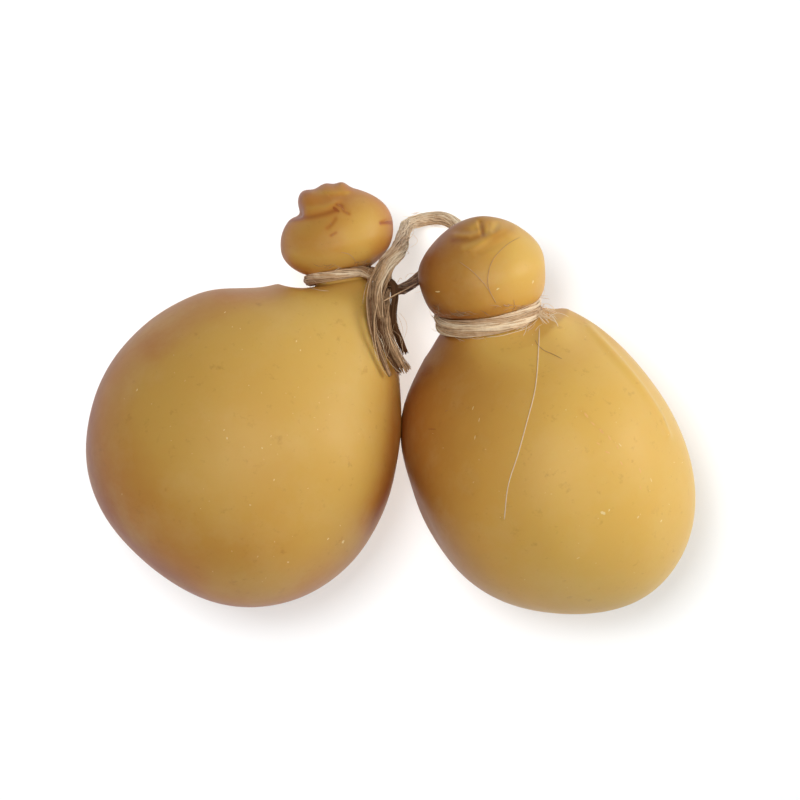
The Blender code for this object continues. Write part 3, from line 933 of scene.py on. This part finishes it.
def add_cheese(cheese, material):
    """One cheese's skin in place of its solid."""
    points, faces, tone = skin(cheese)
    piece = add_object(cheese.name + "_rind", points, faces, material, tone)
    shape = bmesh.new()
    shape.from_mesh(piece.data)
    loose = [vertex for vertex in shape.verts if not vertex.link_faces]
    bmesh.ops.delete(shape, geom=loose, context="VERTS")
    bmesh.ops.recalc_face_normals(shape, faces=shape.faces)
    shape.to_mesh(piece.data)
    shape.free()
    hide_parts(cheese.name)
    return piece


CLOUDING = 0.22  # how much darker broad clouds make the smoke
MOTTLING = 0.12
STEEP_SPAN = (0.75, 0.0)  # rise of the surface normal, from none of the flanks' painted shade to all of it
HEAD_START = (36 * MM, 66 * MM)  # Y over which the head's own smoke sets in
BLOOM = 0.24  # share of milky bloom where it is thickest
BLOOM_COLOUR = srgb(236, 206, 140)
BROWN_SPOTS = 0.45  # share of brown in the darkest spots
SPOT_COLOUR = srgb(170, 112, 52)
GLOSS_SPAN = (0.34, 0.52)  # roughness


def rind_material(name, colours, smoke_and_shade_from, smoke_and_shade_to, painted_flank_shade, head_smoke_and_light, head_span):
    """Waxy smoked rind: golden, darkening to amber and brown along a run between two places, mottled and
    finely pitted.

    colours are pale, golden, amber and smoke. The run's darkening is partly smoke and partly painted shade,
    on the side turned from the lamps and lower down. Places are in the part's drawing millimetres, head_span
    in the frame's metres.
    The flanks are darker than the upper side by painted shade where the surface turns from the overhead lamp.
    The head is darker than the body by the two head values, from one X of head_span to the other: its own
    smoke, and on the second cheese a painted highlight towards its lit right side.
    """
    material, shade, node = new_material(name)
    coordinates = node("TexCoord")["Object"]

    # The run darkens the rind partly by smoke and partly by painted shade, on the side turned from the lamps
    # and lower down.
    start = np.array(smoke_and_shade_from) * MM
    run = np.array(smoke_and_shade_to) * MM - start
    from_start = node("VectorMath", {0: coordinates, 1: tuple(start + SHIFT)}, operation="SUBTRACT")["Vector"]
    along = node("VectorMath", {0: from_start, 1: tuple(run / (run @ run))}, operation="DOT_PRODUCT")["Value"]
    mottle = noise_texture(node, coordinates, 95.0, 4.0, 0.6)
    clouded = times_plus(node, noise_texture(node, coordinates, 16.0, 3.0, 0.55), CLOUDING, along)
    mottled = times_plus(node, mottle, MOTTLING, clouded)
    # Painted shade: the flanks, where the surface turns from the overhead lamp, are darker than the upper
    # side.
    rise = node("SeparateXYZ", {0: node("NewGeometry")["Normal"]})["Z"]
    steepness = node("Math", {0: rise}, operation="ABSOLUTE")[0]
    flank_shade = mapped(node, steepness, STEEP_SPAN, (0.0, painted_flank_shade), interpolation_type="SMOOTHSTEP")
    place = node("SeparateXYZ", {0: coordinates})
    in_head = mapped(node, place["Y"], HEAD_START, interpolation_type="SMOOTHSTEP")
    # The head's own deeper smoke; on the second cheese it turns paler to the right instead, a painted
    # highlight on the side that the side lamp lights.
    head_smoke_and_light_amount = mapped(node, place["X"], head_span, head_smoke_and_light)
    smoked = added(node, mottled, times_plus(node, in_head, head_smoke_and_light_amount, flank_shade))
    in_all = added(node, smoked, painted_tone(node))
    smoky = colour_ramp(node, in_all, list(zip((0.17, 0.45, 0.75, 1.0), colours)))

    bloom = noise_texture(node, coordinates, 48.0, 5.0, 0.62)
    bloomed = mixed(node, mapped(node, bloom, (0.48, 0.78), (0.0, BLOOM)), smoky, BLOOM_COLOUR)
    spots = noise_texture(node, coordinates, 210.0, 4.0, 0.7)
    browned = mixed(node, mapped(node, spots, (0.60, 0.80), (0.0, BROWN_SPOTS)), bloomed, SPOT_COLOUR)
    pits = noise_texture(node, coordinates, 700.0, 3.0, 0.6)
    dented = times_plus(node, noise_texture(node, coordinates, 110.0, 3.0, 0.5), 2.5, pits)
    shade(
        {
            "Base Color": browned,
            "Roughness": mapped(node, mottle, (0.0, 1.0), GLOSS_SPAN),
            "Subsurface Weight": 0.3,
            "Subsurface Radius": (1.0, 0.5, 0.15),
            "Subsurface Scale": 3.5 * MM,
            "Specular IOR Level": 0.22,
            "Normal": relief(node, dented, 0.25, 0.12 * MM),
        }
    )
    return material


# Each rind's run and flanks carry painted shade as well as smoke.
RIND_LEFT = rind_material(
    "smoked_rind_left",
    (srgb(224, 184, 98), srgb(217, 170, 84), srgb(202, 136, 60), srgb(172, 92, 36)),
    smoke_and_shade_from=(-20, 20, 90),
    smoke_and_shade_to=(-160, -72, 30),
    painted_flank_shade=0.36,
    head_smoke_and_light=(0.44, 0.58),
    head_span=(-46 * MM, -4 * MM),
)
# The second rind's head pales towards its right: a painted highlight where the side lamp falls.
RIND_RIGHT = rind_material(
    "smoked_rind_right",
    (srgb(229, 186, 96), srgb(220, 169, 82), srgb(190, 132, 60), srgb(160, 94, 40)),
    smoke_and_shade_from=(80, -10, 90),
    smoke_and_shade_to=(-12, 0, 40),
    painted_flank_shade=0.14,
    head_smoke_and_light=(0.06, -0.32),
    head_span=(20 * MM, 62 * MM),
)


# Single strands beside the hanging tails: (route, width, tone). Tone 0 is brown and 1 is pale.
LOOSE_THREADS = (
    (((-7, 40.6, 86), (-2, 43.4, 83), (2.4, 46, 72), (6.6, 49, 58)), 0.6, 0.5),
    (((-10.4, 54, 76), (-12.6, 50.4, 79), (-14.4, 45.6, 82.4), (-15.4, 39.6, 84.6)), 0.4, 0.35),
    (
        ((-9.6, 54, 76), (-12.2, 49.8, 81), (-13.6, 42.8, 85.4), (-13.2, 34, 88), (-11.8, 27, 88.6)),
        0.5,
        0.45,
    ),
    (((-9.4, 40, 87.4), (-10.6, 32, 89.2), (-10.2, 24, 89.4), (-8.6, 16, 88.2)), 0.45, 0.5),
)
# Straws and hairs that lie on the rinds: (plan route, width, tone).
LAID_FIBRES = {
    "cheese_right": (
        (
            (
                (57.8, 29.9), (57, 21.4), (54.8, 3.7), (51, -10.1), (47.7, -21.8), (43.7, -34.8),
                (42.3, -48.4),
            ),
            0.45,
            0.85,
        ),
        (((55.7, 24.8), (56.4, 23.1), (59.6, 20.1), (62.4, 18.9), (66.4, 16.8)), 0.22, 0.3),
        (
            (
                (49.6, 67.3), (45.7, 65.1), (41.5, 61.6), (38.1, 57.4), (36.1, 50.8), (36.1, 47.2),
                (39.1, 40.3),
            ),
            0.2,
            0.4,
        ),
        (((24.6, 56.7), (29.5, 52.9), (35.3, 46.7), (39.5, 39.9)), 0.25, 0.5),
        (((35.4, 25.9), (41.2, 26.4), (47.4, 28), (53.5, 30.1), (57.7, 33.8)), 0.35, 0.9),
        (((28.2, 26.2), (31.6, 25.2), (35, 25.6)), 0.3, 0.8),
    ),
    "cheese_left": (
        (((-38.6, 47.4), (-34.2, 45.6), (-29.4, 45)), 0.3, 0.7),
        (((-18.4, 57.6), (-20.8, 60.2), (-24.2, 61)), 0.25, 0.5),
    ),
}
# Scuffs and flakes of the rinds, each a thin patch: (plan place, length, width, turn in degrees, tone).
PATCHES = {
    "cheese_left": (
        (-106.8, 4.1, 1.6, 0.8, 70, 0.9), (-69.2, -15.2, 1.4, 0.8, 100, 0.9),
        (-70.4, -12, 1.2, 0.7, 20, 0.9), (-50.5, -32.1, 1.5, 0.8, 60, 0.9),
        (-71.7, 35.9, 1.3, 0.7, 40, 0.9), (-42.1, 23.9, 1.2, 0.7, 80, 0.9), (-29.3, -56.6, 1.8, 0.8, 50, 1),
        (-45.5, -65.9, 1.5, 0.8, 10, 0.9), (-23.4, -58.2, 2.6, 1.4, 60, 0.9),
        (-60.1, -42.1, 1.1, 0.6, 0, 0.9), (-55.2, -19.2, 1.1, 0.6, 120, 0.9),
        (-40.4, 20.2, 1.1, 0.7, 90, 0.9), (-25.2, 80.6, 2.4, 0.5, -20, 0.1),
        (-23.6, 78.9, 2, 0.6, -50, 0.1), (-21.9, 77.2, 1.6, 0.5, -50, 0.1),
        (-28.5, 72.6, 2.6, 0.6, -60, 0.15), (-27.6, 68, 1.8, 0.5, 60, 0.15), (-5.4, 74.4, 2.6, 0.7, 20, 0),
    ),
    "cheese_right": (
        (75.4, -6.1, 4.2, 1.2, -52, 0.42), (77.9, -9.4, 3.6, 0.9, -40, 0.4),
        (81.6, -12.6, 4.6, 1.3, -50, 0.36), (84.9, -15.4, 3.4, 1, -62, 0.4),
        (80.2, -17.6, 2.6, 0.8, -30, 0.45), (84, -21.2, 3.4, 0.9, -25, 0.42),
        (88.2, -19, 2.8, 0.8, -70, 0.42), (89.7, -25.6, 3.4, 0.9, -60, 0.4),
        (97.8, -28.9, 3.2, 0.9, -70, 0.42), (97.8, -35.8, 3, 0.9, -75, 0.4),
        (102.5, -32.7, 2.2, 0.6, -70, 0.9), (89.3, -18.3, 2.6, 0.6, -50, 0.9),
        (72.5, -64.3, 2.2, 0.6, 30, 0.9), (82.3, -45.8, 3.6, 2, -20, 0.95),
        (84.8, -44.6, 1.8, 0.9, 60, 0.95), (97, -47.7, 1.6, 0.9, 60, 0.95),
        (107.1, -49.6, 1.6, 0.9, 60, 0.95), (9.4, 11.2, 5.4, 1.5, 25, -0.1), (13.2, -12, 6, 0.6, 0, 0),
        (18.9, -4.5, 2, 0.6, 20, 0.1), (29.8, -3.3, 2.6, 0.5, 70, 0.9), (30.5, -15.1, 2.8, 0.5, 80, 0.9),
        (32.2, -8.1, 2.2, 0.5, 80, 0.9), (15.5, 44.7, 3.6, 0.9, 0, 0.95), (40.2, 45.6, 2, 0.8, 30, 0.95),
        (54.9, 48.7, 2.2, 0.8, 80, 0.95),
    ),
}
SMALL_FLAKES = 46  # on each cheese, besides the patches
FLAKE_REACH = 56  # from the middle of the belly


def patch_material(name, dark, tan, pale):
    """Dull wax or dry crust, from dark over tan to pale by the tone of each patch."""
    material, shade, node = new_material(name)
    mottle = noise_texture(node, node("TexCoord")["Object"], 900.0, 3.0)
    mottled = times_plus(node, mottle, 0.3, painted_tone(node))
    shade(
        {
            "Base Color": colour_ramp(node, mottled, [(0.15, dark), (0.55, tan), (1.1 / 1.2, pale)]),
            "Roughness": 0.6,
            "Subsurface Weight": 0.2,
            "Subsurface Scale": 0.5 * MM,
        }
    )
    return material


def laid_on(tree, plan, lift):
    """Points of the upper side under these plan points, raised by lift, and the normals there."""
    points, normals = [], []
    for x, y in plan:
        place, normal, _, _ = tree.ray_cast(Vector((x, y, 0.3)), Vector((0, 0, -1)))
        if place is not None:
            points.append(place + normal * lift)
            normals.append(normal)
    return np.array(points), np.array(normals)


# Frayed fibres lying where heads and shoulders meet the twine: (plan middle, half widths of the patch,
# turn of the fibres in degrees, their spread, length, lift, width, count, tone).
FRAYS = {
    "cheese_left": (
        (-14, 56.6, 4, 1.6, 25, 35, 3.2, 0.4, 0.15, 26, (0.15, 0.5)),
        (-29, 55.4, 9, 0.6, 8, 20, 3, 0.3, 0.14, 8, (0.2, 0.5)),
    ),
    "cheese_right": (
        (26, 35.4, 8, 1.1, -8, 22, 3.4, 0.3, 0.15, 26, (0.15, 0.5)),
        (15.5, 37.8, 1.6, 2, -50, 25, 3, 0.3, 0.15, 8, (0.15, 0.4)),
        (46, 38.6, 7, 0.9, 18, 20, 3.6, 0.5, 0.18, 16, (0.2, 0.7)),
        (59.4, 37, 3.4, 2.6, -26, 18, 7, 2.6, 0.34, 90, (0.7, 1.2)),
        (50, 30, 5, 1.2, 12, 25, 5, 0.7, 0.26, 24, (0.6, 1.1)),
        (28, 25.6, 9, 0.8, -5, 20, 3.4, 0.4, 0.16, 10, (0.3, 0.8)),
    ),
}


LONGEST_STEP = 2.5 * MM  # between points of a fibre, which else would jump from one form to another


def add_frays(cheese, tree):
    """Short frayed fibres beside the neck twine, each following the rind below it and a little above it."""
    draw = np.random.default_rng(31)
    fibres = Strands()
    t = np.linspace(-0.5, 0.5, 9)
    for x, y, half_x, half_y, turn, spread, length, lift, width, count, tone in FRAYS[cheese.name]:
        for _ in range(count):
            angle = math.radians(turn + draw.normal() * spread)
            middle = np.array((x + draw.normal() * half_x / 1.6, y + draw.normal() * half_y / 1.6))
            run = length * draw.uniform(0.6, 1.4)
            along = np.array((math.cos(angle), math.sin(angle)))
            across = np.array((-along[1], along[0]))
            plan = middle + np.outer(run * t, along) + np.outer(run * draw.uniform(-0.6, 0.6) * t**2, across)
            points, normals = laid_on(tree, placed_plan(plan), 0.1 * MM)
            if len(points) < len(t):
                continue
            if np.linalg.norm(np.diff(points, axis=0), axis=1).max() > LONGEST_STEP:
                continue
            height = lift * draw.uniform(0.1, 1.0)
            rise = height * (0.5 + 0.5 * np.cos(2 * math.pi * t * draw.uniform(0.4, 1.0)))
            points = points + normals * (rise * MM)[:, None]
            fibre_width = width * draw.uniform(0.7, 1.5) * MM
            fibres.add(points, fibre_width, 0.14 * MM, normals, draw.uniform(*tone))
    piece = fibres.build(cheese.name + "_frayed_strays", RAFFIA)


def add_laid_fibres(cheese, tree):
    """The straws and hairs that lie on a rind."""
    fibres = Strands()
    for route, width, tone in LAID_FIBRES[cheese.name]:
        points, normals = laid_on(tree, smooth_route(placed_plan(route), 1.0 * MM), 0.12 * MM)
        fibres.add(points, width * MM, 0.25 * MM, normals, tone)
    piece = fibres.build(cheese.name + "_laid_strays", RAFFIA)


def add_flakes(cheese, tree, material):
    """The scuffs and small flakes of a rind, each a low ragged patch."""
    draw = np.random.default_rng(len(cheese.name))
    heart = hearts(cheese)[0] / MM
    patches = list(PATCHES[cheese.name])
    for _ in range(SMALL_FLAKES):
        turn, reach = draw.uniform(0, 2 * math.pi), FLAKE_REACH * draw.uniform(0, 1) ** 0.6
        x, y = heart[0] + reach * math.cos(turn), heart[1] + reach * math.sin(turn)
        length, width = draw.uniform(0.4, 1.1), draw.uniform(0.25, 0.5)
        patches.append((x, y, length, width, draw.uniform(0, 180), draw.uniform(0.6, 1)))
    vertices, faces, tones = [], [], []
    rim = 12
    angles = np.linspace(0, 2 * math.pi, rim, endpoint=False)
    for x, y, length, width, turn, tone in patches:
        ragged = draw.uniform(0.65, 1.15, rim)
        along, across = length / 2 * ragged * np.cos(angles), width / 2 * ragged * np.sin(angles)
        cos, sin = math.cos(math.radians(turn)), math.sin(math.radians(turn))
        plan = np.stack([x + along * cos - across * sin, y + along * sin + across * cos], 1)
        edge, _ = laid_on(tree, placed_plan(plan), -0.04 * MM)
        middle, _ = laid_on(tree, placed_plan([(x, y)]), 0.12 * MM)
        if len(edge) < rim or len(middle) < 1:
            continue
        start = len(vertices)
        vertices.extend(edge.tolist() + middle.tolist())
        faces.extend((start + k, start + (k + 1) % rim, start + rim) for k in range(rim))
        tones.extend([tone] * (rim + 1))
    add_object(cheese.name + "_flakes", vertices, faces, material, tones)


def add_marks(cheese, rind, material):
    """Fibres, scuffs and small flakes that lie on a rind."""
    rind_faces = [tuple(face.vertices) for face in rind.data.polygons]
    tree = BVHTree.FromPolygons([vertex.co for vertex in rind.data.vertices], rind_faces)
    add_laid_fibres(cheese, tree)
    add_frays(cheese, tree)
    add_flakes(cheese, tree, material)


def turns_round_neck(cheese, first, last, crossing):
    """Points of twine wound round a neck from one angle to another, each turn beside the one before."""
    side, up, along = turned_axes(cheese.neck_turn, cheese.neck_rise)
    radius = cheese.neck_radius + GAP + cheese.twine_radius
    pitch = 2 * cheese.twine_radius + GAP
    points = []
    for angle in np.linspace(first, last, 1 + round((last - first) / 5)):
        turn, past = divmod(angle - crossing[0], 360)
        passed = min(1, past / (crossing[1] - crossing[0]))
        step = turn + 0.5 - 0.5 * math.cos(math.pi * passed)
        across = math.cos(math.radians(angle)) * side + math.sin(math.radians(angle)) * up
        points.append(np.array(cheese.neck) + radius * across + pitch * step * along)
    middle = (points[0] + points[-1]) @ along / 2 - np.array(cheese.neck) @ along
    return np.array(points) - middle * along + SHIFT


LEFT_BAND_SHIFT = (-0.5, 0.8, 0)  # of the first neck's hank from its solid
FROM_KNOT = ((-8.6, 51.6, 71.4), (-11.8, 52.4, 71.0))
TO_KNOT = ((-10.4, 53.6, 65.6), (-7.4, 53.4, 68.2))
NECK_HANK_REACH = 1.9  # from the middle of a hank round a neck to where stray fibres leave it


def add_neck_turns():
    """The hanks wound round the two necks, with the fibres that stand out of them."""
    left = turns_round_neck(LEFT, *LEFT_TURNS) + np.array(LEFT_BAND_SHIFT) * MM
    left = smooth_route(np.concatenate([placed(FROM_KNOT), left[::3], placed(TO_KNOT)]), 1.2 * MM)
    right = turns_round_neck(RIGHT, *RIGHT_TURNS)
    windings = (
        (LEFT, "neck_twine_left", left, 26, ((2.1, 2.3, 2.1), (1.5, 1.6), 72, 1.2, 26, (0.2, 0.9))),
        (RIGHT, "neck_twine_right", right, 52, ((1.8, 2.0, 1.9), (1.3, 1.5), 84, 2.0, 52, (0.25, 1.2))),
    )
    for cheese, node, points, strays, looks in windings:
        _, _, along = turned_axes(cheese.neck_turn, cheese.neck_rise)
        looks = (along, *looks)
        add_hank(node, node + "_strays", points, NECK_HANK_REACH, strays, (3.0, 10.0), strays + 1, looks)


KNOT_RADII = (4.0, 4.2, 4.0)
KNOT_STRIPS = 44


def add_knot():
    """The knot: strips wound in a lump, each round its own slanting circle."""
    draw = np.random.default_rng(5)
    hank = Strands()
    radii = np.array(KNOT_RADII) * MM
    for _ in range(KNOT_STRIPS):
        pole = unit(draw.normal(size=3) * np.array((0.5, 1.0, 0.5)))
        first = unit(np.cross(pole, (0.3, 0.1, 1.0)))
        second = np.cross(pole, first)
        angles = np.linspace(0, draw.uniform(3.2, 5.6), 30)[:, None] + draw.uniform(0, 6)
        lean = draw.uniform(-0.5, 0.5)
        directions = unit(first * np.cos(angles) + second * np.sin(angles) + pole * lean)
        points = KNOT_PLACE + SHIFT + directions * radii * draw.uniform(0.72, 0.98)
        hank.add(points, draw.uniform(0.6, 1.1) * MM, 0.3 * MM, directions, draw.uniform(0.1, 0.9))
    piece = hank.build("twine_knot_raffia", RAFFIA)
    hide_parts("twine_knot")


def add_loose_threads():
    """The single strands that hang loose beside the tails and cross them."""
    threads = Strands()
    for route, width, tone in LOOSE_THREADS:
        points = smooth_route(placed(route), 1.0 * MM)
        threads.add(points, width * MM, 0.25 * MM, np.tile((0.0, 0.0, 1.0), (len(points), 1)), tone)
    threads.build("loose_threads_strays", RAFFIA)


# ---------------------------------------------------------------- floor and light
def add_floor():
    """A plain white floor."""
    bpy.ops.mesh.primitive_plane_add(size=6.0, location=(0, 0, 0))
    floor = bpy.context.active_object
    floor.name = "floor"
    material, shade, _ = new_material("floor_white")
    shade({"Base Color": (0.90, 0.925, 0.94, 1), "Roughness": 0.9})
    floor.data.materials.append(material)
    return floor


def add_area_light(name, place, target, size, power, receivers, colour=(1, 1, 1)):
    """A square soft box at a place, facing a target, which falls on the receivers alone."""
    data = bpy.data.lights.new(name, "AREA")
    data.size = size
    data.energy = power
    data.color = colour
    light = bpy.data.objects.new(name, data)
    light.location = place
    light.rotation_euler = (Vector(target) - Vector(place)).to_track_quat("-Z", "Y").to_euler()
    bpy.context.scene.collection.objects.link(light)
    group = bpy.data.collections.new("lit_by_" + name)
    for thing in receivers:
        group.objects.link(thing)
    light.light_linking.receiver_collection = group
    return light


WARM_WHITE = (1.0, 0.98, 0.95)


def add_studio(floor, pieces):
    """A wide light overhead, a low one from the right, the floor's own light and a pale surrounding."""
    world = bpy.data.worlds.new("studio")
    world.use_nodes = True
    background = world.node_tree.nodes["Background"]
    background.inputs["Color"].default_value = (1, 1, 1, 1)
    background.inputs["Strength"].default_value = 0.11
    bpy.context.scene.world = world
    bpy.context.scene.view_settings.view_transform = "Standard"
    add_area_light("overhead", (0.1, 0.0, 1.6), (0, 0, 0.05), 1.3, 16.0, pieces, WARM_WHITE)
    add_area_light("side", (0.9, 0.2, 0.34), (0.05, 0, 0.06), 0.45, 4.1, pieces, WARM_WHITE)
    add_area_light("floor_light", (-0.22, 0.2, 1.5), (0, 0, 0), 0.4, 10.5, [floor])
    floor_fill = add_area_light("floor_fill", (0, 0, 1.7), (0, 0, 0), 1.5, 22.5, [floor])
    floor_fill.data.use_shadow = False


# ---------------------------------------------------------------- assembly
FLAKES = patch_material("rind_flakes", srgb(164, 98, 44), srgb(236, 182, 108), srgb(244, 216, 152))
add_marks(LEFT, add_cheese(LEFT, RIND_LEFT), FLAKES)
add_marks(RIGHT, add_cheese(RIGHT, RIND_RIGHT), FLAKES)
add_neck_turns()
add_knot()
add_loose_threads()
floor = add_floor()
PIECE_ENDINGS = ("_rind", "_raffia", "_strays", "_flakes")
add_studio(floor, [thing for thing in bpy.context.scene.objects if thing.name.endswith(PIECE_ENDINGS)])
